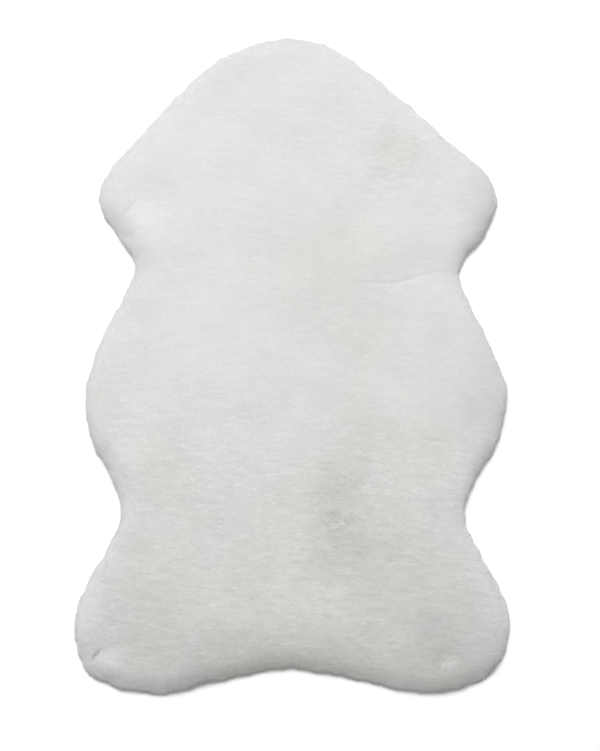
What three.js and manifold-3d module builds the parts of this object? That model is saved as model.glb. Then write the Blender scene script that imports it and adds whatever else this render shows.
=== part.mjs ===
// Shag rug cut in the outline of a pelt: one thick, lumpy pile mat that lies flat, with locks of pile at its rim.
// Millimetres, +Z up. The nose end points along +Y, and the origin is on the floor under the middle of the mat.

import * as THREE from 'three';
import { mergeVertices } from 'three/addons/utils/BufferGeometryUtils.js';
import Module from 'manifold-3d';

const wasm = await Module();
wasm.setup();

// Driving dimensions
const PILE_DEPTH = 27; // height of the pile's top above the floor
const SLAB_INSET = 8; // how far the slab's rim lies inside the outline
const STEPS_LONG = 42; // steps of the slab's grid along a flank
const STEPS_WIDE = 21; // steps of the slab's grid along the hem
const FINEST = 0.02; // edges shorter than this, left where locks meet the slab, are merged away

// Where the locks reach to, seen from above, anticlockwise from the left side of the neck
const OUTLINE = [
  { place: 'neck left', x: -155, y: 373 },
  { place: 'shoulder top left', x: -212, y: 314 },
  { place: 'shoulder front left', x: -255, y: 264 },
  { place: 'shoulder left', x: -266, y: 228 },
  { place: 'shoulder back left', x: -240, y: 182 },
  { place: 'waist left', x: -218, y: 138 },
  { place: 'ribs front left', x: -228, y: 100 },
  { place: 'ribs left', x: -262, y: 38 },
  { place: 'flank left', x: -285, y: -40 },
  { place: 'flank back left', x: -277, y: -98 },
  { place: 'loin front left', x: -247, y: -158 },
  { place: 'loin left', x: -236, y: -206 },
  { place: 'haunch left', x: -253, y: -248 },
  { place: 'paw front left', x: -289, y: -316 },
  { place: 'paw left', x: -301, y: -368 },
  { place: 'paw back left', x: -276, y: -425 },
  { place: 'paw end left', x: -195, y: -450 },
  { place: 'hem left', x: -108, y: -435 },
  { place: 'hem', x: -12, y: -416 },
  { place: 'hem right', x: 84, y: -430 },
  { place: 'paw end right', x: 190, y: -450 },
  { place: 'paw back right', x: 271, y: -424 },
  { place: 'paw right', x: 299, y: -362 },
  { place: 'paw front right', x: 291, y: -318 },
  { place: 'haunch right', x: 258, y: -259 },
  { place: 'loin right', x: 237, y: -204 },
  { place: 'loin front right', x: 251, y: -158 },
  { place: 'flank back right', x: 284, y: -102 },
  { place: 'flank right', x: 295, y: -38 },
  { place: 'ribs right', x: 272, y: 27 },
  { place: 'ribs front right', x: 245, y: 82 },
  { place: 'waist right', x: 231, y: 133 },
  { place: 'shoulder back right', x: 262, y: 178 },
  { place: 'shoulder right', x: 281, y: 226 },
  { place: 'shoulder front right', x: 270, y: 259 },
  { place: 'shoulder top right', x: 229, y: 298 },
  { place: 'neck right', x: 160, y: 358 },
  { place: 'cheek right', x: 96, y: 412 },
  { place: 'nose right', x: 42, y: 443 },
  { place: 'nose', x: -15, y: 450 },
  { place: 'cheek left', x: -96, y: 424 },
];

// The four sides of the slab's grid, each from its first corner to the next side's
const SIDES = [
  { side: 'left flank', corner: 'neck left', steps: STEPS_LONG },
  { side: 'hem', corner: 'paw back left', steps: STEPS_WIDE },
  { side: 'right flank', corner: 'paw back right', steps: STEPS_LONG },
  { side: 'nose', corner: 'neck right', steps: STEPS_WIDE },
];

// The slab's rounded edge, from the floor up: how far each ring lies in from the rim, and how high
const EDGE = [
  { ring: 'sole', inset: 11, height: 0 },
  { ring: 'rim', inset: 0, height: 9 },
  { ring: 'over the rim', inset: 3, height: 18 },
  { ring: 'shoulder of the pile', inset: 9, height: 24 },
  { ring: 'crown', inset: 22, height: PILE_DEPTH },
];

// Long waves that leave the top uneven
const LUMPS = [
  { rise: 1.0, length: 148, heading: 0.4, start: 0.3 },
  { rise: 0.9, length: 117, heading: 1.9, start: 2.1 },
  { rise: 0.7, length: 86, heading: 2.7, start: 4.4 },
  { rise: 0.6, length: 74, heading: 1.1, start: 1.2 },
];

// Creases and hollows pressed into the pile, each along a line from one end to the other
const CREASES = [
  { name: 'waist crease', x0: 100, y0: 115, x1: 224, y1: 134, width: 17, depth: 3.5 },
  { name: 'shoulder crease', x0: -224, y0: 214, x1: -206, y1: 232, width: 9, depth: 2 },
  { name: 'neck crease', x0: 118, y0: 256, x1: 150, y1: 258, width: 11, depth: 1.5 },
  { name: 'rib crease', x0: -84, y0: -76, x1: -50, y1: -68, width: 11, depth: 1.5 },
  { name: 'paw pinch', x0: -282, y0: -410, x1: -262, y1: -392, width: 10, depth: 3 },
  { name: 'rump hollow', x0: 60, y0: -205, x1: 78, y1: -140, width: 52, depth: 2.5 },
  { name: 'haunch hollow', x0: -190, y0: -196, x1: -178, y1: -180, width: 40, depth: 1.5 },
];

// Three-sided locks with a flat underside. Two tiers take turns round the rim: the low one lies level on the
// floor, and the high one droops over it.
const LOCK_COUNT = 216;
const LOCK_ROOT = 12; // how far a lock's root runs into the slab
const TIP_SHARE = 1 / 8; // the tip's width and height, as a share of the root's
const LOCK_LEAN = 0.45; // radians to either side of straight out
const TIERS = [
  { tier: 'low', underside: 0, width: 38, height: 20, reach: 9, droop: 0 },
  { tier: 'high', underside: 10.5, width: 32, height: 10, reach: 7, droop: 0.2 },
];

const mat = new THREE.MeshStandardMaterial({
  name: 'white pile',
  color: 0xdcddd9,
  roughness: 0.95,
  metalness: 0,
  flatShading: true,
});

// A value from -1 to 1 that jumps about from one count to the next and is the same on every run
function uneven(count, trait) {
  return Math.sin(count * 2.399 + trait * 1.7) * Math.cos(count * 0.731 + trait * 3.1);
}

const ARC_STEPS = 50; // measuring steps between two rows of the outline
const outline = new THREE.CatmullRomCurve3(
  OUTLINE.map(({ x, y }) => new THREE.Vector3(x, y, 0)),
  true,
  'centripetal',
);
outline.arcLengthDivisions = ARC_STEPS * OUTLINE.length;

// How far round the outline a named place lies, from 0 to 1
function shareOf(name) {
  const row = OUTLINE.findIndex(({ place }) => place === name);
  const lengths = outline.getLengths();
  return lengths[ARC_STEPS * row] / lengths.at(-1);
}

// A point on the slab's rim, with the direction that faces out of the mat
function rimAt(share) {
  const ahead = outline.getTangentAt(share);
  const out = new THREE.Vector3(ahead.y, -ahead.x, 0);
  return { place: outline.getPointAt(share).addScaledVector(out, -SLAB_INSET), out };
}

function lumpHeight(x, y) {
  return LUMPS.reduce((sum, wave) => {
    const across = x * Math.cos(wave.heading) + y * Math.sin(wave.heading);
    return sum + wave.rise * Math.sin((2 * Math.PI * across) / wave.length + wave.start);
  }, 0);
}

function creaseDepth(x, y) {
  const point = new THREE.Vector3(x, y, 0);
  const nearest = new THREE.Vector3();
  return CREASES.reduce((sum, crease) => {
    const line = new THREE.Line3(
      new THREE.Vector3(crease.x0, crease.y0, 0),
      new THREE.Vector3(crease.x1, crease.y1, 0),
    );
    const away = line.closestPointToPoint(point, true, nearest).distanceTo(point) / crease.width;
    return sum + crease.depth * Math.exp(-away * away);
  }, 0);
}

function topHeight(x, y) {
  return PILE_DEPTH + lumpHeight(x, y) - creaseDepth(x, y);
}

// The slab: a flat sole, a rounded edge, and a lumpy top on a grid that blends the crown's four sides
function slabGeometry() {
  const points = [];
  const faces = [];
  const addPoint = (x, y, z) => points.push(new THREE.Vector3(x, y, z)) - 1;

  const rim = SIDES.flatMap(({ corner, steps }, i) => {
    const from = shareOf(corner);
    const to = i + 1 < SIDES.length ? shareOf(SIDES[i + 1].corner) : 1;
    return Array.from({ length: steps }, (_, step) => rimAt(from + ((to - from) * step) / steps));
  });
  const rings = EDGE.map(({ inset, height }) =>
    rim.map(({ place, out }) => {
      const x = place.x - out.x * inset;
      const y = place.y - out.y * inset;
      return addPoint(x, y, (height / PILE_DEPTH) * topHeight(x, y));
    }),
  );
  rings.slice(1).forEach((ring, i) => {
    ring.forEach((near, step) => {
      const next = (step + 1) % rim.length;
      faces.push(rings[i][step], rings[i][next], ring[next], rings[i][step], ring[next], near);
    });
  });

  const sole = rings[0];
  const soleShape = sole.map((point) => new THREE.Vector2(points[point].x, points[point].y));
  for (const [a, b, c] of THREE.ShapeUtils.triangulateShape(soleShape, [])) {
    faces.push(sole[a], sole[c], sole[b]);
  }

  const crown = rings.at(-1);
  const left = (row) => crown[STEPS_LONG - row];
  const right = (row) => crown[STEPS_LONG + STEPS_WIDE + row];
  const hem = (column) => crown[STEPS_LONG + column];
  const nose = (column) => crown[(crown.length - column) % crown.length];
  const gridPoint = (column, row) => {
    if (row === 0) return hem(column);
    if (row === STEPS_LONG) return nose(column);
    if (column === 0) return left(row);
    if (column === STEPS_WIDE) return right(row);
    const [u, v] = [column / STEPS_WIDE, row / STEPS_LONG];
    const blend = new THREE.Vector3();
    blend.addScaledVector(points[hem(column)], 1 - v).addScaledVector(points[nose(column)], v);
    blend.addScaledVector(points[left(row)], 1 - u).addScaledVector(points[right(row)], u);
    blend.addScaledVector(points[hem(0)], -(1 - u) * (1 - v)).addScaledVector(points[nose(0)], -(1 - u) * v);
    blend.addScaledVector(points[hem(STEPS_WIDE)], -u * (1 - v));
    blend.addScaledVector(points[nose(STEPS_WIDE)], -u * v);
    return addPoint(blend.x, blend.y, topHeight(blend.x, blend.y));
  };
  const grid = Array.from({ length: STEPS_LONG + 1 }, (_, row) =>
    Array.from({ length: STEPS_WIDE + 1 }, (_, column) => gridPoint(column, row)),
  );
  for (let row = 0; row < STEPS_LONG; row++) {
    for (let column = 0; column < STEPS_WIDE; column++) {
      const [a, b] = [grid[row][column], grid[row][column + 1]];
      const [d, c] = [grid[row + 1][column], grid[row + 1][column + 1]];
      const splitsAtCorner = row < STEPS_LONG / 2 === column < STEPS_WIDE / 2;
      faces.push(...(splitsAtCorner ? [a, b, c, a, c, d] : [a, b, d, b, c, d]));
    }
  }

  const geometry = new THREE.BufferGeometry().setFromPoints(points);
  geometry.setIndex(faces);
  return geometry;
}

// One lock at the given share of the way round. It turns about the spot where it leaves the slab.
function lockGeometry(share, i) {
  const { underside, width, height, reach, droop } = TIERS[i % TIERS.length];
  const length = LOCK_ROOT + reach * (1 + 0.3 * uneven(i, 1));
  const geometry = new THREE.CylinderGeometry(TIP_SHARE, 1, 1, 3);
  const levelling = new THREE.Matrix4().makeShear(0, 0, 0, (TIP_SHARE - 1) / 2, 0, 0);
  geometry.applyMatrix4(levelling).translate(0, 0.5, (1 + TIP_SHARE) / 4);
  geometry.scale((width * (1 + 0.12 * uneven(i, 2))) / Math.sqrt(3), length, height / 1.5);
  const { place, out } = rimAt(share);
  geometry.rotateX(-droop).translate(0, -LOCK_ROOT, underside);
  geometry.rotateZ(Math.atan2(-out.x, out.y) + LOCK_LEAN * uneven(i, 3));
  return geometry.translate(place.x, place.y, 0);
}

function toSolid(geometry) {
  const bare = geometry.clone();
  bare.deleteAttribute('normal');
  bare.deleteAttribute('uv');
  const merged = mergeVertices(bare);
  return new wasm.Manifold(
    new wasm.Mesh({
      numProp: 3,
      vertProperties: new Float32Array(merged.getAttribute('position').array),
      triVerts: new Uint32Array(merged.getIndex().array),
    }),
  );
}

function toGeometry(solid) {
  const { vertProperties, triVerts } = solid.getMesh();
  const geometry = new THREE.BufferGeometry();
  geometry.setAttribute('position', new THREE.BufferAttribute(vertProperties, 3));
  geometry.setIndex(new THREE.BufferAttribute(triVerts, 1));
  geometry.computeVertexNormals();
  return geometry;
}

function pileMat() {
  const locks = Array.from({ length: LOCK_COUNT }, (_, i) => lockGeometry((i + 0.5) / LOCK_COUNT, i));
  const solid = locks.reduce((whole, lock) => whole.add(toSolid(lock)), toSolid(slabGeometry()));
  const geometry = toGeometry(solid.simplify(FINEST));
  geometry.computeBoundingBox();
  const middle = geometry.boundingBox.getCenter(new THREE.Vector3());
  geometry.translate(-middle.x, -middle.y, 0);
  const mesh = new THREE.Mesh(geometry, mat);
  mesh.name = 'pile_mat';
  return mesh;
}

const rug = new THREE.Group();
rug.add(pileMat());

export default rug;
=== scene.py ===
"""Shag rug in a pelt shape: the looks of its pile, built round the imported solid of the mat.

Metres, +Z up. The nose end of the rug points along +Y, and the rug lies on the floor at z = 0.
"""

import math

import bpy
import numpy as np
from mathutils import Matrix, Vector
from mathutils.bvhtree import BVHTree
from mathutils.kdtree import KDTree


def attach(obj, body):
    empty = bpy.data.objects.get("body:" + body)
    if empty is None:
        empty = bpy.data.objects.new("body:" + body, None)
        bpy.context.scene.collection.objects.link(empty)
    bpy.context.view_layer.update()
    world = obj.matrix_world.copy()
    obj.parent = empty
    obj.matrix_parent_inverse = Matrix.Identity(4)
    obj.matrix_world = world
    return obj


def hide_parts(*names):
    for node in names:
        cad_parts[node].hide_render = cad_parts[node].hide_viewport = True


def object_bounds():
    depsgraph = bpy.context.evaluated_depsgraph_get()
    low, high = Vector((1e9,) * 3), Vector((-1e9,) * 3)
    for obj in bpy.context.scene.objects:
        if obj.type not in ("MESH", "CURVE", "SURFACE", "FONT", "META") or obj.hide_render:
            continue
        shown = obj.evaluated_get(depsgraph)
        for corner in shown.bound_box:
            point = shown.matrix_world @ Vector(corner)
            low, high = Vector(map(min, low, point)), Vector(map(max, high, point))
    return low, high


bl_info = {
    "name": "Shag rug",
    "version": (1, 0, 0),
    "blender": (4, 5, 0),
    "location": "View3D > Sidebar > Shag rug",
    "description": "Makes the pile, the ground cloth and the stage of a pelt-shaped shag rug",
    "category": "Object",
}

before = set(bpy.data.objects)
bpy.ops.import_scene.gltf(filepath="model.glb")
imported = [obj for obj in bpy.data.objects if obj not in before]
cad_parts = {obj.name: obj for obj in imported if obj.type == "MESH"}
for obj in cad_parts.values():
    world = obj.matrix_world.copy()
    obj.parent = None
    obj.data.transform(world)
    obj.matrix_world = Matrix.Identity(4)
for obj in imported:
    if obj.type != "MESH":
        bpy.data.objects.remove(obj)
MAT_NODE = "pile_mat"
CAD_LOW, CAD_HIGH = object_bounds()
PILE_TOP = CAD_HIGH.z

# What the photograph frames, in metres on the floor, seen from straight above
VIEW_HEIGHT = 1.0356
VIEW_CENTRE = Vector((0.0113, -0.0148))
CAMERA_HEIGHT = 6.0
SENSOR_WIDTH = 36

# The soft light, above and beyond the nose end and a little to the left, the light of the room and the floor
KEY_AT = Vector((-0.45, 1.8, 3.6))
KEY_AIM = Vector((0, 0.1, 0))
KEY_SIZE = 2.3
KEY_POWER = 147
ROOM_LIGHT = 0.467
FLOOR_SIZE = 14
FLOOR_WHITE = 0.95

# The zones of the pile, each a piece of its own, from the nose end back
ZONES = ("pile_shoulders", "pile_ribs", "pile_loins", "pile_rump")

# Soft patches over the pile, each with its middle and its half size in metres, how much darker it is and how
# much warmer. The darkness is painted shade, and painted light where it is below zero; the warmth is the
# pile's own colour.
TONES = {
    # The loin patches are painted shade where the nap lies ruffled; the first is also a little warmer
    "shaded loin": ((0.066, -0.206), (0.085, 0.125), 0.11, 0.35),
    "shaded loin edge": ((0.052, -0.190), (0.036, 0.080), 0.035, 0.0),
    # The back half and the hem are painted shade, darker towards the hem, which is turned from the light;
    # the back half is also warmer
    "back half": ((0.02, -0.34), (0.42, 0.34), 0.048, 0.9),
    "hem": ((0.0, -0.47), (0.50, 0.16), 0.14, 0.1),
    "nose": ((-0.01, 0.44), (0.12, 0.06), 0.04, 0.6),
    "brow": ((0.145, 0.298), (0.075, 0.050), 0.07, 0.6),
    "left cheek": ((-0.12, 0.30), (0.10, 0.06), -0.03, 0.0),
    "withers": ((0.035, 0.145), (0.120, 0.110), 0.03, 0.6),
    "right shoulder": ((0.265, 0.225), (0.06, 0.08), 0.08, 0.2),
    "saddle": ((0.08, 0.06), (0.12, 0.08), 0.045, 0.1),
    "left rib": ((-0.12, 0.04), (0.12, 0.10), -0.03, 0.0),
    "right rib": ((0.19, -0.12), (0.11, 0.09), 0.035, 0.3),
    "above the shaded loin": ((0.095, -0.085), (0.09, 0.08), 0.06, 0.2),
    "right flank": ((0.275, -0.06), (0.07, 0.13), 0.10, 0.2),
    "left loin": ((-0.17, -0.17), (0.10, 0.09), 0.045, 0.5),
    "right hind leg": ((0.17, -0.30), (0.16, 0.17), 0.075, 0.3),
    "right paw": ((0.240, -0.385), (0.12, 0.10), 0.125, 0.2),
    "left hind leg": ((-0.22, -0.33), (0.13, 0.12), 0.075, 0.4),
    "left of the hem": ((-0.12, -0.40), (0.15, 0.07), 0.10, 0.2),
    "left waist fold": ((-0.203, 0.144), (0.03, 0.04), 0.04, 0.0),
    "left rib smudge": ((-0.210, 0.075), (0.04, 0.03), 0.05, 0.0),
    "left loin smudge": ((-0.207, -0.246), (0.05, 0.035), 0.05, 0.2),
    "left shoulder": ((-0.205, 0.200), (0.05, 0.06), -0.07, 0.0),
    "left loin light": ((-0.228, -0.129), (0.04, 0.04), -0.05, 0.0),
    "left cheek rim": ((-0.085, 0.405), (0.07, 0.05), 0.05, 0.3),
    "hem middle": ((0.0, -0.375), (0.16, 0.06), 0.06, 0.1),
    "right paw back": ((0.19, -0.41), (0.09, 0.05), 0.08, 0.5),
    "right loin fold": ((0.135, -0.20), (0.05, 0.05), 0.045, 0.2),
    "left paw side": ((-0.290, -0.33), (0.035, 0.09), -0.05, -0.8),
    "left paw tuft": ((-0.250, -0.406), (0.040, 0.022), -0.08, -0.5),
    "right paw tuft": ((0.216, -0.418), (0.022, 0.026), -0.05, -0.4),
    "left neck": ((-0.10, 0.14), (0.13, 0.08), -0.015, 0.0),
    "left rib light": ((-0.19, -0.005), (0.05, 0.05), -0.025, 0.0),
    "right of the hem": ((0.101, -0.400), (0.08, 0.05), 0.035, 0.0),
    "rump": ((0.065, -0.275), (0.11, 0.08), 0.03, 0.0),
    "right flank front": ((0.218, -0.045), (0.08, 0.09), 0.03, 0.0),
    "right loin rim": ((0.218, -0.195), (0.05, 0.05), 0.035, 0.0),
    "left of the rump": ((-0.085, -0.265), (0.12, 0.08), 0.02, 0.0),
    "left paw": ((-0.240, -0.370), (0.07, 0.07), 0.05, 0.0),
    "left flank": ((-0.255, -0.045), (0.06, 0.09), 0.025, 0.3),
    "right half": ((0.12, 0.05), (0.22, 0.50), 0.0, 0.35),
    "right rib yellow": ((0.094, 0.041), (0.07, 0.05), 0.0, 0.45),
    "neck yellow": ((0.094, 0.172), (0.08, 0.04), 0.0, 0.25),
    "left loin yellow": ((-0.190, -0.118), (0.06, 0.07), 0.0, 0.8),
    "right loin yellow": ((0.170, -0.117), (0.12, 0.05), 0.0, 0.6),
    "left leg yellow": ((-0.175, -0.262), (0.08, 0.06), 0.0, 0.5),
    "middle yellow": ((-0.02, 0.11), (0.06, 0.09), 0.0, 0.3),
}

# The mottling over those patches: its grains for each metre along X, Y and Z, and how strong it is
CLOUDS = {"scale": (9, 12, 9), "strength": 0.07}
WARM_CLOUDS = {"scale": (16, 20, 16), "strength": 1.4}
STREAKS = {"scale": (110, 420, 200), "strength": 0.03}

# Soft creases in the pile: the line each follows, its width, its depth, all in metres
CREASES = {
    "right waist": {
        "line": [
            (0.085, 0.1123),
            (0.115, 0.1123),
            (0.138, 0.1123),
            (0.154, 0.1158),
            (0.170, 0.1214),
            (0.188, 0.1261),
            (0.215, 0.1290),
        ],
        "width": 0.0030,
        "depth": 0.00065,
    },
    "right neck": {
        "line": [(0.1090, 0.2596), (0.1270, 0.2561), (0.1350, 0.2521), (0.1430, 0.2566), (0.1610, 0.2581)],
        "width": 0.0016,
        "depth": 0.00045,
    },
    "left shoulder": {
        "line": [(-0.2150, 0.2286), (-0.2260, 0.2166), (-0.2350, 0.2056)],
        "width": 0.0022,
        "depth": 0.0009,
    },
    "left rib": {
        "line": [(-0.0830, -0.0699), (-0.0670, -0.0759), (-0.0490, -0.0724)],
        "width": 0.0020,
        "depth": 0.0004,
    },
    "right rib": {
        "line": [(0.1480, 0.0111), (0.1590, 0.0131), (0.1710, 0.0086)],
        "width": 0.0022,
        "depth": 0.0004,
    },
    "right flank": {
        "line": [(0.1670, -0.0984), (0.1910, -0.1054), (0.2150, -0.1104)],
        "width": 0.0030,
        "depth": 0.0005,
    },
    "right loin upper": {
        "line": [(0.1470, -0.1704), (0.1670, -0.1814), (0.1850, -0.1924)],
        "width": 0.0024,
        "depth": 0.0005,
    },
    "right loin lower": {
        "line": [(0.2130, -0.1424), (0.2250, -0.1524), (0.2320, -0.1624)],
        "width": 0.0030,
        "depth": 0.0007,
    },
    "left shoulder dot": {
        "line": [(-0.2160, 0.2906), (-0.2100, 0.2876)],
        "width": 0.0022,
        "depth": 0.0005,
    },
    "left paw pinch": {
        "line": [(-0.2650, -0.3935), (-0.2700, -0.4000), (-0.2775, -0.4080)],
        "width": 0.0031,
        "depth": 0.0021,
    },
    "left paw side": {
        "line": [(-0.2960, -0.3934), (-0.2850, -0.3889), (-0.2740, -0.3874)],
        "width": 0.0020,
        "depth": 0.0004,
    },
    "left paw side upper": {
        "line": [(-0.2950, -0.3713), (-0.2830, -0.3722), (-0.2710, -0.3740)],
        "width": 0.0018,
        "depth": 0.0004,
    },
}

# Tufts where the strands stand together and catch the light: the line each follows, its width, how bright
TUFTS = [
    {"line": [(0.2044, -0.4306), (0.2072, -0.4182), (0.2168, -0.4044)], "width": 0.0030, "bright": 0.24},
    {"line": [(0.2141, -0.4251), (0.2168, -0.4140), (0.2251, -0.4099)], "width": 0.0028, "bright": 0.20},
    {"line": [(0.2251, -0.4320), (0.2265, -0.4209), (0.2210, -0.4127)], "width": 0.0026, "bright": 0.16},
    {"line": [(-0.2755, -0.4126), (-0.2589, -0.4016), (-0.2479, -0.3947)], "width": 0.0034, "bright": 0.08},
    {"line": [(-0.2672, -0.4182), (-0.2479, -0.4099), (-0.2341, -0.4126)], "width": 0.0034, "bright": 0.07},
    {"line": [(0.1230, -0.1837), (0.1310, -0.1775), (0.1382, -0.1727)], "width": 0.0018, "bright": 0.14},
]

# Places where the outline stands out fuller, or less full, in metres: middle, reach and how far
FULLER = {
    "left paw corner": {"at": (-0.292, -0.405), "reach": 0.045, "grow": 0.0006},
    "left paw dent": {"at": (-0.295, -0.410), "reach": 0.014, "grow": 0.0028},
    "left paw side": {"at": (-0.301, -0.378), "reach": 0.020, "grow": -0.0025},
    "right paw corner": {"at": (0.285, -0.415), "reach": 0.045, "grow": 0.0030},
    "left paw back": {"at": (-0.170, -0.455), "reach": 0.080, "grow": 0.0010},
    "right waist": {"at": (0.235, 0.142), "reach": 0.030, "grow": -0.0025},
    "left waist": {"at": (-0.222, 0.151), "reach": 0.018, "grow": -0.0028},
    "left neck": {"at": (-0.240, 0.174), "reach": 0.016, "grow": 0.0020},
    "left ribs": {"at": (-0.234, 0.090), "reach": 0.022, "grow": 0.0028},
    "left loin": {"at": (-0.248, -0.243), "reach": 0.022, "grow": -0.0016},
    "right hind leg": {"at": (0.294, -0.324), "reach": 0.060, "grow": -0.0008},
    "right flank": {"at": (0.292, -0.024), "reach": 0.025, "grow": 0.0022},
    "right ribs": {"at": (0.261, 0.051), "reach": 0.035, "grow": 0.0020},
    "right shoulder": {"at": (0.273, 0.262), "reach": 0.030, "grow": 0.0020},
    "right cheek": {"at": (0.165, 0.356), "reach": 0.030, "grow": 0.0014},
    "left cheek": {"at": (-0.147, 0.379), "reach": 0.050, "grow": 0.0024},
}

# The outline's own lumps: how long and how high they are, and how many times higher the hem adds to the
# coarse ones
COARSE_LUMPS = {"length": 0.032, "height": 0.0005}
FINE_LUMPS = {"length": 0.012, "height": 0.0007}
HEM_LUMPS = 2.2
LUMP_SEED = 21

# How much further out the outline stands where it faces the hem, and how much less where it faces right
HEM_GROWTH = 0.0018
RIGHT_SHRINK = 0.0006

# Places that are more ruffled, and places where the nap curls: middle, reach, how much
RUFFLED = (
    ((0.075, -0.19), (0.06, 0.07), 0.45),
    ((0.145, 0.298), (0.07, 0.05), 0.45),
    ((-0.245, -0.05), (0.04, 0.06), 0.35),
)
CURLED = (
    ((0.16, -0.375), (0.05, 0.035), 1.0),
    ((0.075, -0.19), (0.05, 0.06), 0.6),
)

# The nap's waves and its curls: the seed and the length of each
NAP_WAVES = ((5, 0.11), (6, 0.03))
CURL_WAVES = (8, 0.016)

# How far the nap turns, in radians, in those waves, from wisp to wisp, from strand to strand and in curls,
# and how firmly a tuft holds its strands
WAVE_TURN = 0.10
WISP_TURN = 0.20
STRAND_TURN = 0.05
CURL_TURN = 0.9
TUFT_HOLD = 1.3

# How the strands' tone varies: by wisp and by strand at random; in odd strands, some given a painted glint
# and some a painted shadow; as painted shade for each metre of a crease's depth; and as painted light at the
# rim; and how far their shading tilts from wisp to wisp
WISP_TONE = 0.070
STRAND_TONE = 0.016
ODD_ABOVE = 0.97
ODD_BRIGHT = 0.05
ODD_DARK = 0.06
CREASE_PAINTED_SHADE = 35
SIDE_PAINTED_LIGHT = 0.02
RIGHT_PAINTED_LIGHT = 0.16
WISP_TILT = 0.05

# How much the strands vary in length and width, and the seed of what differs from strand to strand
VARIATION = 0.2
STRAND_SEED = 11

# Where the pile starts to fall at the rim and how soon it falls fully, as the level part of its normal, how
# much of its nap it keeps there, how it droops, and how much shorter its strands are there and in tufts
FALL_FROM = 0.4
FALL_SPAN = 0.4
KEPT_NAP = 0.25
FALL_DROOP = (0, 0, -0.5)
FALL_SHORTENING = 0.35
TUFT_SHORTENING = 0.45

# How far along a strand its bend is
BEND_SHARE = 0.45

# How deep a strand's root lies, how far it lifts with its wisp and by itself, how far a tip at the rim
# strays, and how far off the dense pile its bend and its tip lie
ROOT_DEPTH = 0.0003
WISP_LIFT = 0.00010
STRAND_LIFT = 0.00002
TIP_STRAY = 0.0008
BEND_CLEAR = 0.00005
TIP_CLEAR = 0.00012

# The way from the light's side of the rug to its lee, along which the strays get longer
LEE_WAY = (0.6, -0.8, 0)

# The lowest places of the strands and of the strays at the rim, and how much higher the strays start at the
# sides and the nose
RIM_LOWEST = 0.0025
STRAYS_LOWEST = 0.003
STRAYS_SIDE_RISE = 0.010

# The fine strays at the rim: how far they turn off their way out, how they droop, how their tone varies,
# their root's depth, half of their width and depth, their shortest length, how much longer the longest are,
# and how much of that is lost at the sides
STRAY_TURN = 0.6
STRAY_DROOP = (0.15, -0.1, -0.25)
STRAY_TONE = 0.035
STRAY_ROOT_DEPTH = 0.0006
STRAY_HALF_SIZES = (0.00028, 0.00016)
STRAY_SHORTEST = 0.0012
STRAY_REACH = 0.0036
STRAY_SIDE_LOSS = 0.0016

# The slit between cloth and pile, and the lowest that a strand reaches
CLOTH_GAP = 0.0002
FLOOR_GAP = 0.0003

# A wall's normal points up or down by less than the first of these, and the top's points up by more than
# the second
STEEP = 0.35
TOP_FACING = 0.9

# How many times the block, the rounded rim and the top alone are smoothed
SMOOTH_BLOCK = 14
SMOOTH_RIM = 7
SMOOTH_TOP = 12

# A strand is a root point, a ring at its bend and a tip point
SIDES_OF_STRAND = 3
POINTS_OF_STRAND = SIDES_OF_STRAND + 2


class RugSizes(bpy.types.PropertyGroup):
    """Sizes of the rug's cloth and pile"""

    cloth_thickness: bpy.props.FloatProperty(
        name="Ground cloth thickness",
        description="Thickness of the knitted ground that the pile stands in",
        default=0.002,
        unit="LENGTH",
    )
    hem_radius: bpy.props.FloatProperty(
        name="Hem radius",
        description="How far in from its outline the pile starts to round over at the hem",
        default=0.026,
        unit="LENGTH",
    )
    side_radius: bpy.props.FloatProperty(
        name="Side radius",
        description="How far in from its outline the pile starts to round over at the sides and the nose",
        default=0.007,
        unit="LENGTH",
    )
    body_growth: bpy.props.FloatProperty(
        name="Growth of the dense pile",
        description="How far the outline is grown to make up for the rounding of the rim",
        default=0.0078,
        unit="LENGTH",
    )
    foot_height: bpy.props.FloatProperty(
        name="Foot of the rim",
        description="Height of the upright foot that the rounded rim stands on",
        default=0.006,
        unit="LENGTH",
    )
    side_foot_height: bpy.props.FloatProperty(
        name="Foot of the sides",
        description="Height of the upright foot at the sides and the nose, out of sight from above",
        default=0.015,
        unit="LENGTH",
    )
    body_step: bpy.props.FloatProperty(
        name="Grain of the dense pile",
        description="Size of the cells that the dense pile's surface is made of",
        default=0.004,
        unit="LENGTH",
    )
    strand_length: bpy.props.FloatProperty(
        name="Strand length",
        description="Length of a middling strand that shows",
        default=0.0115,
        unit="LENGTH",
    )
    strand_width: bpy.props.FloatProperty(
        name="Strand width",
        description="Width of a strand at its middle",
        default=0.0019,
        unit="LENGTH",
    )
    strand_depth: bpy.props.FloatProperty(
        name="Strand depth",
        description="Thickness of a strand at its middle",
        default=0.0002,
        unit="LENGTH",
    )
    top_strands: bpy.props.IntProperty(
        name="Strands on the top",
        description="Strands on the top of the mat, in all four zones",
        default=102000,
    )
    rim_strands: bpy.props.IntProperty(
        name="Strands at the rim",
        description="Strands on the rounded edge of the mat",
        default=22000,
    )
    stray_strands: bpy.props.IntProperty(
        name="Stray strands",
        description="Fine strands that stand off the rim",
        default=16000,
    )
    wisp_length: bpy.props.FloatProperty(
        name="Wisp length",
        description="Length of the wisps that strands draw together in",
        default=0.015,
        unit="LENGTH",
    )
    wisp_width: bpy.props.FloatProperty(
        name="Wisp width",
        description="Width of the wisps that strands draw together in",
        default=0.0031,
        unit="LENGTH",
    )


class RugColours(bpy.types.PropertyGroup):
    """Colours of the rug"""

    pale: bpy.props.FloatVectorProperty(
        name="Pale pile",
        description="Colour of the pile where it is whitest",
        default=(0.610, 0.612, 0.616),
        subtype="COLOR",
    )
    warm: bpy.props.FloatVectorProperty(
        name="Warm pile",
        description="Colour of the pile where it is warmest",
        default=(0.607, 0.614, 0.580),
        subtype="COLOR",
    )
    cloth: bpy.props.FloatVectorProperty(
        name="Ground cloth",
        description="Colour of the knitted ground cloth",
        default=(0.62, 0.61, 0.57),
        subtype="COLOR",
    )


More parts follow.
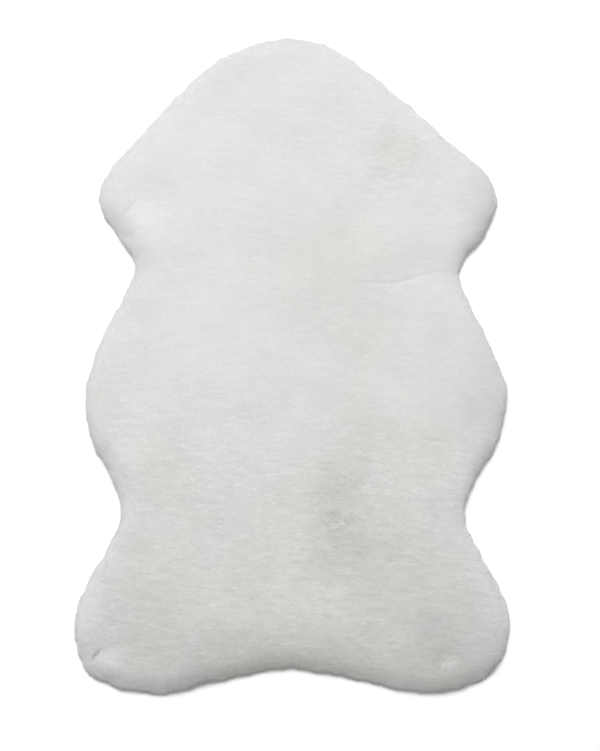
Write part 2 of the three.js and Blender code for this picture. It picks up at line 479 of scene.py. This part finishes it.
def select_only(*objects):
    """Selects these objects alone, the first as the active one"""
    bpy.ops.object.select_all(action="DESELECT")
    for obj in objects:
        obj.select_set(True)
    bpy.context.view_layer.objects.active = objects[0]


def apply_modifier(obj, kind, **settings):
    """Gives the object a modifier of this kind, with these settings, and applies it"""
    select_only(obj)
    modifier = obj.modifiers.new(kind.title(), kind)
    for key, value in settings.items():
        setattr(modifier, key, value)
    bpy.ops.object.modifier_apply(modifier=modifier.name)


def point_places(mesh):
    """The places of the mesh's points, one row each"""
    places = np.empty(len(mesh.vertices) * 3, np.float32)
    mesh.vertices.foreach_get("co", places)
    return places.reshape(-1, 3).astype(float)


def point_normals(mesh):
    """The normals of the mesh's points, one row each"""
    normals = np.empty(len(mesh.vertices) * 3, np.float32)
    mesh.vertex_normals.foreach_get("vector", normals)
    return normals.reshape(-1, 3).astype(float)


def move_points(mesh, places):
    """Moves the mesh's points to these places"""
    mesh.vertices.foreach_set("co", places.reshape(-1).astype(np.float32))
    mesh.update()


def eased(value, low, high):
    """0 at low and before it, 1 at high and past it, smooth between; low may be the larger"""
    share = np.clip((value - low) / (high - low), 0, 1)
    return share * share * (3 - 2 * share)


def outline_lumps(places, normals):
    """How much further out the outline stands at each place, for its lumps and its fuller spots"""
    x, y = places[:, 0], places[:, 1]
    rng = np.random.default_rng(LUMP_SEED)
    hemmost = 1 + HEM_LUMPS * eased(y, -0.3, -0.4)
    coarse = COARSE_LUMPS["height"] * hemmost * waves(x, y, rng, COARSE_LUMPS["length"])
    lumps = coarse + FINE_LUMPS["height"] * waves(x, y, rng, FINE_LUMPS["length"])
    lumps += HEM_GROWTH * eased(normals[:, 1], 0, -0.8)
    lumps -= RIGHT_SHRINK * eased(normals[:, 0], 0.1, 0.8)
    for spot in FULLER.values():
        away = np.linalg.norm(places[:, :2] - np.array(spot["at"]), axis=1)
        lumps += spot["grow"] * np.exp(-((away / spot["reach"]) ** 2))
    return lumps


def round_rim(obj, sizes):
    """Grows the outline and rounds the pile over to an upright foot, widest at the hem"""
    places = point_places(obj.data)
    normals = point_normals(obj.data)
    lumps = outline_lumps(places, normals)
    places[:, :2] += (sizes.body_growth + lumps)[:, None] * normals[:, :2]
    wall = np.nonzero(np.abs(normals[:, 2]) < STEEP)[0]
    tree = KDTree(len(wall))
    for index in wall:
        tree.insert((places[index, 0], places[index, 1], 0), index)
    tree.balance()
    heading = unit(normals[:, :2])[:, 1]
    for index in np.nonzero(normals[:, 2] > -STEEP)[0]:
        _, nearest, inside = tree.find((places[index, 0], places[index, 1], 0))
        hemward = float(eased(heading[nearest], -0.05, -0.75))
        radius = sizes.side_radius + (sizes.hem_radius - sizes.side_radius) * hemward
        foot = sizes.side_foot_height + (sizes.foot_height - sizes.side_foot_height) * hemward
        away = 1 - min(inside / radius, 1)
        over = max(places[index, 2] - foot, 0)
        places[index, 2] -= over * (1 - math.sqrt(1 - away * away))
    move_points(obj.data, places)


def near_line(line, width, places):
    """How near each place is to the line, as a bell, with the way off the line and the way along it"""
    line = np.array(line)
    reach = np.cumsum([0, *np.linalg.norm(np.diff(line, axis=0), axis=1)])
    best = np.full(len(places), np.inf)
    offset = np.zeros((len(places), 2))
    ahead = np.zeros((len(places), 2))
    where = np.zeros(len(places))
    for start, end, before in zip(line[:-1], line[1:], reach[:-1]):
        way = end - start
        long = np.linalg.norm(way)
        share = np.clip((places[:, :2] - start) @ way / long ** 2, 0, 1)
        off = places[:, :2] - start - share[:, None] * way
        away = np.linalg.norm(off, axis=1)
        nearer = away < best
        best = np.where(nearer, away, best)
        offset[nearer] = off[nearer]
        ahead[nearer] = way / long
        where = np.where(nearer, (before + share * long) / reach[-1], where)
    bell = np.exp(-((best / width) ** 2)) * (0.25 + 0.75 * np.sin(math.pi * where))
    return bell, offset, ahead


def crease_form(places):
    """How deep each place lies in the creases, and which way the pile tips there"""
    depth = np.zeros(len(places))
    tip = np.zeros((len(places), 2))
    for crease in CREASES.values():
        bell, offset, _ = near_line(crease["line"], crease["width"], places)
        depth += crease["depth"] * bell
        tip -= (2 * crease["depth"] * bell / crease["width"] ** 2)[:, None] * offset
    return depth, tip


def tuft_form(places):
    """How bright each place is in the tufts, and the heading of its strands there"""
    bright = np.zeros(len(places))
    pull = np.zeros(len(places))
    heading = np.zeros(len(places))
    for tuft in TUFTS:
        bell, _, ahead = near_line(tuft["line"], tuft["width"], places)
        bright += tuft["bright"] * bell
        stronger = bell > pull
        pull = np.where(stronger, bell, pull)
        heading = np.where(stronger, np.arctan2(ahead[:, 1], ahead[:, 0]), heading)
    return bright, pull, heading


def press_creases(obj):
    """Sinks the creases into the top of the dense pile"""
    places = point_places(obj.data)
    normals = point_normals(obj.data)
    depth = crease_form(places)[0]
    places[:, 2] -= depth * eased(normals[:, 2], 0.2, 0.6)
    move_points(obj.data, places)


def flatten_underside(obj, level):
    """Lays every point that faces down on one level, and lifts any lower point to it"""
    places = point_places(obj.data)
    normals = point_normals(obj.data)
    low = (normals[:, 2] < -0.25) | (places[:, 2] < level)
    places[low, 2] = level
    move_points(obj.data, places)


def keep_level_faces(obj, level):
    """Deletes all but the faces that look down at this level, and joins those into one"""
    select_only(obj)
    for polygon in obj.data.polygons:
        polygon.select = polygon.normal.z > -0.9 or polygon.center.z > level + 0.0001
    bpy.ops.object.mode_set(mode="EDIT")
    bpy.ops.mesh.select_mode(type="FACE")
    bpy.ops.mesh.delete(type="FACE")
    bpy.ops.mesh.select_all(action="SELECT")
    bpy.ops.mesh.vertices_smooth(factor=0.5, repeat=6)
    bpy.ops.mesh.select_all(action="SELECT")
    bpy.ops.mesh.dissolve_faces()
    bpy.ops.object.mode_set(mode="OBJECT")


def smooth_shaded(obj):
    """Shades the object smooth"""
    select_only(obj)
    bpy.ops.object.shade_smooth()


def new_material(name, roughness):
    """A material with this roughness, and its shader"""
    material = bpy.data.materials.new(name)
    material.use_nodes = True
    shader = material.node_tree.nodes["Principled BSDF"]
    shader.inputs["Roughness"].default_value = roughness
    return material, shader


def patch_mask(tree, place, at, reach):
    """A soft spot: 1 at its middle and 0 past its reach"""
    centred = tree.nodes.new("ShaderNodeMapping")
    centred.vector_type = "POINT"
    centred.inputs["Scale"].default_value = (1 / reach[0], 1 / reach[1], 0)
    centred.inputs["Location"].default_value = (-at[0] / reach[0], -at[1] / reach[1], 0)
    tree.links.new(place, centred.inputs["Vector"])
    away = tree.nodes.new("ShaderNodeVectorMath")
    away.operation = "LENGTH"
    tree.links.new(centred.outputs["Vector"], away.inputs[0])
    mask = tree.nodes.new("ShaderNodeMapRange")
    mask.interpolation_type = "SMOOTHERSTEP"
    mask.inputs["From Min"].default_value = 1
    mask.inputs["From Max"].default_value = 0
    tree.links.new(away.outputs["Value"], mask.inputs["Value"])
    return mask.outputs["Result"]


def add_math(tree, operation, first, second):
    """A math node on two values, each a socket or a number"""
    node = tree.nodes.new("ShaderNodeMath")
    node.operation = operation
    for socket, value in zip(node.inputs, (first, second)):
        if isinstance(value, (int, float)):
            socket.default_value = value
        else:
            tree.links.new(value, socket)
    return node.outputs["Value"]


def stretched_noise(tree, place, scale, detail=2.0):
    """Noise from 0 to 1 with this many grains for each metre along each axis"""
    mapping = tree.nodes.new("ShaderNodeMapping")
    mapping.inputs["Scale"].default_value = scale
    tree.links.new(place, mapping.inputs["Vector"])
    noise = tree.nodes.new("ShaderNodeTexNoise")
    noise.inputs["Scale"].default_value = 1
    noise.inputs["Detail"].default_value = detail
    tree.links.new(mapping.outputs["Vector"], noise.inputs["Vector"])
    return noise.outputs["Fac"]


def add_scaled(tree, value, mottling, strength):
    """The value with the mottling, from 0 to 1, added to it at this strength either way"""
    swing = add_math(tree, "SUBTRACT", mottling, 0.5)
    return add_math(tree, "ADD", value, add_math(tree, "MULTIPLY", swing, strength))


def pile_tone_group():
    """The pile's colour over the rug: soft patches of painted shade and painted light with warmer colour,
    cloudy mottling, the strands' own tones with the shade and light painted into them, and fine streaks
    along the nap
    """
    tree = bpy.data.node_groups.new("pile tone", "ShaderNodeTree")
    tree.interface.new_socket(name="Pale", in_out="INPUT", socket_type="NodeSocketColor")
    tree.interface.new_socket(name="Warm", in_out="INPUT", socket_type="NodeSocketColor")
    tree.interface.new_socket(name="Streaks", in_out="INPUT", socket_type="NodeSocketFloat")
    tree.interface.new_socket(name="Color", in_out="OUTPUT", socket_type="NodeSocketColor")
    given = tree.nodes.new("NodeGroupInput")
    put = tree.nodes.new("NodeGroupOutput")
    coords = tree.nodes.new("ShaderNodeTexCoord").outputs["Object"]
    shade = 1.0
    warmth = 0.0
    # Each patch paints shade, or paints light where its darker value is below zero, and adds warmth
    for at, reach, darker, warmer in TONES.values():
        mask = patch_mask(tree, coords, at, reach)
        shade = add_math(tree, "SUBTRACT", shade, add_math(tree, "MULTIPLY", mask, darker))
        warmth = add_math(tree, "ADD", warmth, add_math(tree, "MULTIPLY", mask, warmer))
    shade = add_scaled(tree, shade, stretched_noise(tree, coords, CLOUDS["scale"]), CLOUDS["strength"])
    warm_clouds = stretched_noise(tree, coords, WARM_CLOUDS["scale"])
    warmth = add_scaled(tree, warmth, warm_clouds, WARM_CLOUDS["strength"])
    # Each strand's tone, with its painted glints and shadows, the painted shade of the creases and the
    # painted light of the tufts and the rim
    own = tree.nodes.new("ShaderNodeAttribute")
    own.attribute_name = "tone"
    shade = add_math(tree, "ADD", shade, own.outputs["Fac"])
    streaks = stretched_noise(tree, coords, STREAKS["scale"], detail=3.0)
    shade = add_scaled(tree, shade, streaks, given.outputs["Streaks"])
    colour = tree.nodes.new("ShaderNodeMix")
    colour.data_type = "RGBA"
    tree.links.new(warmth, colour.inputs["Factor"])
    tree.links.new(given.outputs["Pale"], colour.inputs["A"])
    tree.links.new(given.outputs["Warm"], colour.inputs["B"])
    shaded = tree.nodes.new("ShaderNodeVectorMath")
    shaded.operation = "SCALE"
    tree.links.new(colour.outputs["Result"], shaded.inputs[0])
    tree.links.new(shade, shaded.inputs["Scale"])
    tree.links.new(shaded.outputs["Vector"], put.inputs["Color"])
    return tree


def pile_material(colours, group):
    """The white pile, with the soft sheen of its fibres"""
    material, shader = new_material("white pile", 0.85)
    shader.inputs["Sheen Weight"].default_value = 0.2
    tone = material.node_tree.nodes.new("ShaderNodeGroup")
    tone.node_tree = group
    tone.inputs["Pale"].default_value = (*colours.pale, 1)
    tone.inputs["Warm"].default_value = (*colours.warm, 1)
    tone.inputs["Streaks"].default_value = STREAKS["strength"]
    material.node_tree.links.new(tone.outputs["Color"], shader.inputs["Base Color"])
    return material


def cloth_material(colours):
    """The plain knitted ground"""
    material, shader = new_material("knitted ground", 0.9)
    shader.inputs["Base Color"].default_value = (*colours.cloth, 1)
    return material


def surface_samples(obj, count, wanted, rng):
    """Evenly spread points on the faces whose normal and middle pass the test, with their normals"""
    mesh = obj.data
    mesh.calc_loop_triangles()
    co = point_places(mesh)
    normals = point_normals(mesh)
    corners = np.empty(len(mesh.loop_triangles) * 3, np.int32)
    mesh.loop_triangles.foreach_get("vertices", corners)
    corners = corners.reshape(-1, 3)
    a, b, c = (co[corners[:, k]] for k in range(3))
    across = np.cross(b - a, c - a)
    area = np.linalg.norm(across, axis=1) / 2
    area = np.where(wanted(unit(across), (a + b + c) / 3), area, 0)
    reach = np.cumsum(area)
    picks = (np.arange(count) + rng.random(count)) / count * reach[-1]
    face = np.searchsorted(reach, picks)
    u, v = rng.random(count), rng.random(count)
    fold = u + v > 1
    u, v = np.where(fold, 1 - u, u), np.where(fold, 1 - v, v)
    weights = np.stack([1 - u - v, u, v], axis=1)[:, :, None]
    place = (co[corners[face]] * weights).sum(1)
    normal = (normals[corners[face]] * weights).sum(1)
    return place, unit(normal)


def unit(ways):
    """The ways, each made one long"""
    return ways / np.maximum(np.linalg.norm(ways, axis=-1, keepdims=True), 1e-12)


def outward_ways(normal):
    """The level part of each normal, made one long"""
    return unit(np.stack([normal[:, 0], normal[:, 1], np.zeros(len(normal))], axis=1))


def waves(x, y, rng, length, count=6):
    """Smooth variation over the rug, about -1 to 1, with waves of about the given length"""
    total = np.zeros_like(x)
    for heading, start, stretch in zip(
        rng.random(count) * math.pi, rng.random(count) * math.tau, 0.7 + 0.8 * rng.random(count)
    ):
        across = x * math.cos(heading) + y * math.sin(heading)
        total += np.sin(math.tau * across / (length * stretch) + start)
    return total / math.sqrt(count / 2) / 2


def scattered(column, row, mix, seed):
    """A number from 0 to 1 for each cell, which looks random and is the same in each run"""
    return np.mod(np.sin(column * mix[0] + row * mix[1] + seed) * 43758.5453, 1)


def wisps(x, y, along, across, seed=3.0):
    """The wisp that each point belongs to, as two numbers from 0 to 1 that are its own"""
    row_slip = 0.618
    row = np.floor(y / across)
    column = np.floor(x / along + np.mod(row * row_slip, 1))
    best = np.full(x.shape, np.inf)
    own = np.zeros((len(x), 2))
    for step_row in (-1, 0, 1):
        for step_column in (-1, 0, 1):
            r = row + step_row
            c = column + step_column
            jog = scattered(c, r, (127.1, 311.7), seed)
            slip = scattered(c, r, (269.5, 183.3), seed)
            middle_x = (c + jog - np.mod(r * row_slip, 1)) * along
            middle_y = (r + slip) * across
            away = ((x - middle_x) / along) ** 2 + ((y - middle_y) / across) ** 2
            nearer = away < best
            best = np.where(nearer, away, best)
            own[nearer, 0] = np.mod(jog * 7.31 + slip * 3.17, 1)[nearer]
            own[nearer, 1] = np.mod(jog * 13.7 + slip * 29.3, 1)[nearer]
    return own


def strand_mesh(name, points, half_sizes, side, over, shown_normal, tone):
    """Closed three-sided strands, each a root point, a ring at its bend and a tip point"""
    count = len(points)
    angles = np.radians([90, 210, 330])
    ring = np.cos(angles)[None, :, None] * (side * half_sizes[:, :1])[:, None, :]
    ring = ring + np.sin(angles)[None, :, None] * (over * half_sizes[:, 1:])[:, None, :]
    co = np.concatenate([points[:, :1], points[:, 1:2] + ring, points[:, 2:3]], axis=1)
    co[..., 2] = np.maximum(co[..., 2], FLOOR_GAP)
    around = np.arange(SIDES_OF_STRAND)
    ahead = (around + 1) % SIDES_OF_STRAND
    root_faces = np.stack([np.zeros(SIDES_OF_STRAND), around + 1, ahead + 1], axis=1)
    tip_faces = np.stack([ahead + 1, around + 1, np.full(SIDES_OF_STRAND, POINTS_OF_STRAND - 1)], axis=1)
    faces = np.concatenate([root_faces, tip_faces])
    all_faces = (faces[None] + (np.arange(count) * POINTS_OF_STRAND)[:, None, None]).reshape(-1, 3)
    mesh = bpy.data.meshes.new(name)
    mesh.vertices.add(count * POINTS_OF_STRAND)
    mesh.vertices.foreach_set("co", co.reshape(-1).astype(np.float32))
    mesh.loops.add(len(all_faces) * 3)
    mesh.loops.foreach_set("vertex_index", all_faces.reshape(-1).astype(np.int32))
    mesh.polygons.add(len(all_faces))
    mesh.polygons.foreach_set("loop_start", np.arange(0, len(all_faces) * 3, 3, dtype=np.int32))
    mesh.update(calc_edges=True)
    tones = np.repeat(tone, POINTS_OF_STRAND).astype(np.float32)
    mesh.attributes.new("tone", "FLOAT", "POINT").data.foreach_set("value", tones)
    obj = bpy.data.objects.new(name, mesh)
    bpy.context.scene.collection.objects.link(obj)
    smooth_shaded(obj)
    mesh.normals_split_custom_set_from_vertices(np.repeat(shown_normal, POINTS_OF_STRAND, axis=0))
    return obj


def on_the_top(way, at):
    """The level part of the mat, whatever its place"""
    return way[:, 2] > TOP_FACING


def on_the_rim(way, at):
    """The slanting and upright part of the mat, above its cloth"""
    return (way[:, 2] <= TOP_FACING) & (way[:, 2] > -0.75) & (at[:, 2] > RIM_LOWEST)


def where_strays_stand(way, at):
    """The steep part of the rim: all of it at the hem, only its upper half at the sides and the nose"""
    lowest = STRAYS_LOWEST + STRAYS_SIDE_RISE * (1 - eased(way[:, 1], 0.1, -0.6))
    return (way[:, 2] <= 0.6) & (way[:, 2] > -0.3) & (at[:, 2] > lowest)


def laid_on(tree, points, height):
    """The points moved onto the dense pile, each this far off its surface"""
    moved = np.empty_like(points)
    for index, point in enumerate(points):
        nearest, facing, _, _ = tree.find_nearest(point)
        moved[index] = nearest + facing * height[index]
    return moved


def with_spots(value, x, y, spots):
    """The value with soft spots added, each with its middle, its reach and how much it adds"""
    for at, reach, much in spots:
        value = value + much * np.exp(-(((x - at[0]) / reach[0]) ** 2) - (((y - at[1]) / reach[1]) ** 2))
    return value


def ruffled(x, y):
    """How ruffled the pile is at each place: less at the shoulders, 1 at the rump, more in a few spots"""
    return with_spots(0.48 + 0.52 * eased(y, 0.0, -0.2), x, y, RUFFLED)


def grow_strays(name, place, normal, rng):
    """Fine strands that stand a little off the rim, longest on the side away from the light"""
    count = len(place)
    outward = outward_ways(normal)
    along = np.stack([-outward[:, 1], outward[:, 0], np.zeros(count)], axis=1)
    lee = eased(outward @ np.array(LEE_WAY), -0.4, 0.5)
    sideways = 1 - eased(outward[:, 1], -0.2, -0.75)
    rise = np.stack([np.full(count, 0.2), np.full(count, -0.1), 0.35 * sideways - 0.15], axis=1)
    way = unit(outward + along * (STRAY_TURN * rng.standard_normal(count))[:, None] + rise)
    length = STRAY_SHORTEST + (STRAY_REACH - STRAY_SIDE_LOSS * sideways) * rng.random(count) ** 1.6
    length *= 0.45 + 0.55 * lee
    length *= 1 - 0.6 * sideways * (1 - eased(place[:, 2], 0.011, 0.019))
    root = place - normal * STRAY_ROOT_DEPTH
    bend = place + way * (0.5 * length)[:, None]
    tip = place + unit(way + np.array(STRAY_DROOP)) * length[:, None]
    points = np.stack([root, bend, tip], axis=1)
    side = unit(np.cross(tip - root, normal))
    over = np.cross(unit(tip - root), side)
    half_sizes = np.tile(STRAY_HALF_SIZES, (count, 1))
    upward = np.stack([np.zeros(count), np.zeros(count), 0.55 + 1.45 * sideways], axis=1)
    # Painted light on the strays at the sides and in the lee, where they stand in shade
    tone = STRAY_TONE * rng.standard_normal(count) + 0.05 * sideways + lee * (0.10 + 0.10 * sideways)
    return strand_mesh(name, points, half_sizes, side, -over, unit(normal + upward), tone)


def nap_headings(x, y, ruffle, own, rng):
    """The way the nap runs at each place, as an angle from +X"""
    heading = np.zeros(len(x))
    for seed, length in NAP_WAVES:
        heading += WAVE_TURN * waves(x, y, np.random.default_rng(seed), length)
    heading += ruffle * (WISP_TURN * (own[:, 0] - 0.5) * 2 + STRAND_TURN * rng.standard_normal(len(x)))
    seed, length = CURL_WAVES
    heading += with_spots(0, x, y, CURLED) * CURL_TURN * waves(x, y, np.random.default_rng(seed), length)
    return heading


def strand_tones(ruffle, own, depth, tuft, rim_painted_light, rng):
    """How much brighter or darker each strand is than the patches it stands in: its random tone by wisp and
    strand, painted glints and shadows on odd strands, painted shade in the creases, painted light in the
    tufts, and the painted light at the rim that it is given
    """
    count = len(ruffle)
    spread = (own[:, 0] - 0.5) * 2
    tone = ruffle * (WISP_TONE * spread * np.abs(spread) + STRAND_TONE * rng.standard_normal(count))
    # A few odd strands get a painted glint, and a few a painted shadow
    bright = rng.random(count) > ODD_ABOVE
    dark = rng.random(count) > ODD_ABOVE
    tone += ODD_BRIGHT * ruffle * bright - ODD_DARK * ruffle * dark
    # Painted shade in the creases, darker where they are deeper
    tone -= CREASE_PAINTED_SHADE * depth
    # Painted light where the tufts catch it
    tone += tuft * (0.75 + 0.5 * rng.random(count))
    return tone + rim_painted_light


def shading_normals(normal, ruffle, own, hemward, tip_way):
    """The normals that the strands are shaded by: raised at the sides, and tilted by wisp and by crease"""
    shown = normal.copy()
    shown[:, :2] *= (0.55 + 0.45 * hemward)[:, None]
    shown[:, 2] = np.maximum(shown[:, 2], 0.5 - 0.35 * hemward)
    shown[:, 1] += WISP_TILT * ruffle * (own[:, 1] - 0.5) * 2
    shown[:, :2] += tip_way
    return unit(shown)


def grow_strands(name, tree, place, normal, sizes, rng):
    """Strands that lean along the nap on the top and fall outwards at the rim"""
    x, y = place[:, 0], place[:, 1]
    count = len(place)
    ruffle = ruffled(x, y)
    own = wisps(x, y, sizes.wisp_length, sizes.wisp_width)
    heading = nap_headings(x, y, ruffle, own, rng)
    tuft, pull, tuft_heading = tuft_form(place)
    heading += (tuft_heading - heading) * np.minimum(TUFT_HOLD * pull, 1)
    nap = np.stack([np.cos(heading), np.sin(heading), np.zeros(count)], axis=1)
    outward = outward_ways(normal)
    slant = np.clip(np.hypot(normal[:, 0], normal[:, 1]), 0, 1)
    falls = np.clip((slant - FALL_FROM) / FALL_SPAN, 0, 1)[:, None]
    kept = KEPT_NAP + (1 - KEPT_NAP) * (1 - falls)
    nap = unit(nap * kept + (outward + np.array(FALL_DROOP)) * falls)
    nap = unit(nap - normal * (nap * normal).sum(1, keepdims=True))
    length = sizes.strand_length * (1 + VARIATION * rng.standard_normal(count).clip(-2, 2))
    length *= (1 - FALL_SHORTENING * falls[:, 0]) * (1 - TUFT_SHORTENING * np.minimum(pull, 1))
    root = place - normal * ROOT_DEPTH
    lifted = ruffle * (WISP_LIFT * own[:, 1] + STRAND_LIFT * rng.standard_normal(count))
    stray = TIP_STRAY * rng.random(count) ** 3 * falls[:, 0]
    halfway = place + nap * (length * BEND_SHARE)[:, None]
    bend = laid_on(tree, halfway, BEND_CLEAR + lifted + 0.3 * stray)
    tip = laid_on(tree, place + nap * length[:, None], TIP_CLEAR + 1.2 * lifted + stray)
    points = np.stack([root, bend, tip], axis=1)
    ahead = unit(tip - root)
    side = unit(np.cross(ahead, normal))
    over = np.cross(side, ahead)
    wide = sizes.strand_width * (1 + VARIATION * rng.standard_normal(count).clip(-2, 2)) / 2
    half_sizes = np.stack([wide, wide * sizes.strand_depth / sizes.strand_width], axis=1)
    depth, tip_way = crease_form(bend)
    hemward = eased(outward[:, 1], 0.1, -0.6)
    rightward = eased(outward[:, 0], -0.1, 0.7)
    # Painted light on the rim's strands, most at the right side, where the rim lies in shade, and none at
    # the hem
    rim_painted_light = (SIDE_PAINTED_LIGHT + RIGHT_PAINTED_LIGHT * rightward) * eased(slant, 0.5, 1.0) * (1 - hemward)
    tone = strand_tones(ruffle, own, depth, tuft, rim_painted_light, rng)
    shown = shading_normals(normal, ruffle, own, hemward, tip_way)
    return strand_mesh(name, points, half_sizes, side, over, shown, tone)


class RUG_OT_pile_body(bpy.types.Operator):
    """Makes the dense pile that the strands stand on, from the mat's solid"""

    bl_idname = "rug.pile_body"
    bl_label = "Dense pile"

    def execute(self, context):
        sizes = context.scene.rug_sizes
        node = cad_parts[MAT_NODE]
        body = bpy.data.objects.new("pile_body", node.data.copy())
        context.scene.collection.objects.link(body)
        body.data.materials.clear()
        select_only(body)
        bpy.ops.object.mode_set(mode="EDIT")
        bpy.ops.mesh.select_all(action="SELECT")
        bpy.ops.mesh.remove_doubles(threshold=0.00001)
        bpy.ops.object.mode_set(mode="OBJECT")
        apply_modifier(body, "REMESH", mode="VOXEL", voxel_size=sizes.body_step)
        apply_modifier(body, "SMOOTH", factor=0.5, iterations=SMOOTH_BLOCK)
        round_rim(body, sizes)
        apply_modifier(body, "REMESH", mode="VOXEL", voxel_size=sizes.body_step)
        apply_modifier(body, "SMOOTH", factor=0.5, iterations=SMOOTH_RIM)
        apply_modifier(body, "SMOOTH", factor=0.5, iterations=SMOOTH_TOP, use_x=False, use_y=False)
        press_creases(body)
        flatten_underside(body, sizes.cloth_thickness + CLOTH_GAP)
        smooth_shaded(body)
        body.data.materials.append(pile_material(context.scene.rug_colours, pile_tone_group()))
        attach(body, "root")
        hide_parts(MAT_NODE)
        return {"FINISHED"}


class RUG_OT_ground_cloth(bpy.types.Operator):
    """Makes the thin knitted ground cloth under the pile"""

    bl_idname = "rug.ground_cloth"
    bl_label = "Ground cloth"

    def execute(self, context):
        sizes = context.scene.rug_sizes
        body = bpy.data.objects["pile_body"]
        cloth = bpy.data.objects.new("ground_cloth", body.data.copy())
        context.scene.collection.objects.link(cloth)
        cloth.data.materials.clear()
        keep_level_faces(cloth, sizes.cloth_thickness + CLOTH_GAP)
        for vertex in cloth.data.vertices:
            vertex.co.z = sizes.cloth_thickness
        apply_modifier(cloth, "SOLIDIFY", thickness=sizes.cloth_thickness, offset=1)
        cloth.data.materials.append(cloth_material(context.scene.rug_colours))
        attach(cloth, "root")
        return {"FINISHED"}


class RUG_OT_pile_strands(bpy.types.Operator):
    """Grows the strands of the pile on the dense pile, in zones and round the rim"""

    bl_idname = "rug.pile_strands"
    bl_label = "Pile strands"

    def execute(self, context):
        sizes = context.scene.rug_sizes
        body = bpy.data.objects["pile_body"]
        material = body.data.materials[0]
        tree = BVHTree.FromObject(body, context.evaluated_depsgraph_get())
        rng = np.random.default_rng(STRAND_SEED)
        place, normal = surface_samples(body, sizes.top_strands, on_the_top, rng)
        order = np.argsort(-place[:, 1])
        parts = np.array_split(order, len(ZONES))
        made = []
        for name, part in zip(ZONES, parts):
            made.append(grow_strands(name, tree, place[part], normal[part], sizes, rng))
        place, normal = surface_samples(body, sizes.rim_strands, on_the_rim, rng)
        made.append(grow_strands("pile_rim", tree, place, normal, sizes, rng))
        place, normal = surface_samples(body, sizes.stray_strands, where_strays_stand, rng)
        made.append(grow_strays("pile_fuzz", place, normal, rng))
        for obj in made:
            obj.data.materials.append(material)
            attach(obj, "root")
        return {"FINISHED"}


class RUG_OT_stage(bpy.types.Operator):
    """Makes the pale floor, the soft light and the camera above the rug"""

    bl_idname = "rug.stage"
    bl_label = "Stage"

    def execute(self, context):
        bpy.ops.object.select_all(action="DESELECT")
        bpy.ops.mesh.primitive_plane_add(size=FLOOR_SIZE, location=(0, 0, 0))
        floor = context.object
        floor.name = "floor"
        material, shader = new_material("floor white", 0.9)
        shader.inputs["Base Color"].default_value = (FLOOR_WHITE, FLOOR_WHITE, FLOOR_WHITE, 1)
        shader.inputs["Specular IOR Level"].default_value = 0.1
        floor.data.materials.append(material)

        world = bpy.data.worlds.new("room")
        world.use_nodes = True
        background = world.node_tree.nodes["Background"]
        background.inputs["Color"].default_value = (1, 1, 1, 1)
        background.inputs["Strength"].default_value = ROOM_LIGHT
        context.scene.world = world

        bpy.ops.object.light_add(type="AREA", location=KEY_AT)
        key = context.object
        key.name = "key_light"
        key.data.shape = "SQUARE"
        key.data.size = KEY_SIZE
        key.data.energy = KEY_POWER
        key.rotation_euler = (KEY_AIM - key.location).to_track_quat("-Z", "Y").to_euler()

        camera_data = bpy.data.cameras.new("camera")
        camera_data.sensor_width = SENSOR_WIDTH
        camera_data.lens = SENSOR_WIDTH * (CAMERA_HEIGHT - PILE_TOP) / VIEW_HEIGHT
        camera = bpy.data.objects.new("camera", camera_data)
        camera.location = (*VIEW_CENTRE, CAMERA_HEIGHT)
        context.scene.collection.objects.link(camera)
        context.scene.camera = camera
        context.scene.view_settings.view_transform = "Standard"
        return {"FINISHED"}


class RUG_PT_panel(bpy.types.Panel):
    """Lists the rug's pieces and their sizes"""

    bl_label = "Shag rug"
    bl_idname = "RUG_PT_panel"
    bl_space_type = "VIEW_3D"
    bl_region_type = "UI"
    bl_category = "Shag rug"

    def draw(self, context):
        for group in (context.scene.rug_sizes, context.scene.rug_colours):
            for name in group.bl_rna.properties.keys():
                if name not in ("rna_type", "name"):
                    self.layout.prop(group, name)
        for operator in OPERATORS:
            self.layout.operator(operator.bl_idname)


OPERATORS = (RUG_OT_pile_body, RUG_OT_ground_cloth, RUG_OT_pile_strands, RUG_OT_stage)
CLASSES = (RugSizes, RugColours, *OPERATORS, RUG_PT_panel)


def register():
    """Registers the classes and gives the scene the rug's sizes and colours"""
    for cls in CLASSES:
        bpy.utils.register_class(cls)
    bpy.types.Scene.rug_sizes = bpy.props.PointerProperty(type=RugSizes)
    bpy.types.Scene.rug_colours = bpy.props.PointerProperty(type=RugColours)


def unregister():
    """Takes back what register gives"""
    del bpy.types.Scene.rug_sizes
    del bpy.types.Scene.rug_colours
    for cls in reversed(CLASSES):
        bpy.utils.unregister_class(cls)


def main():
    """Makes the whole rug and its stage"""
    register()
    bpy.ops.rug.pile_body()
    bpy.ops.rug.ground_cloth()
    bpy.ops.rug.pile_strands()
    bpy.ops.rug.stage()


if __name__ == "__main__":
    main()
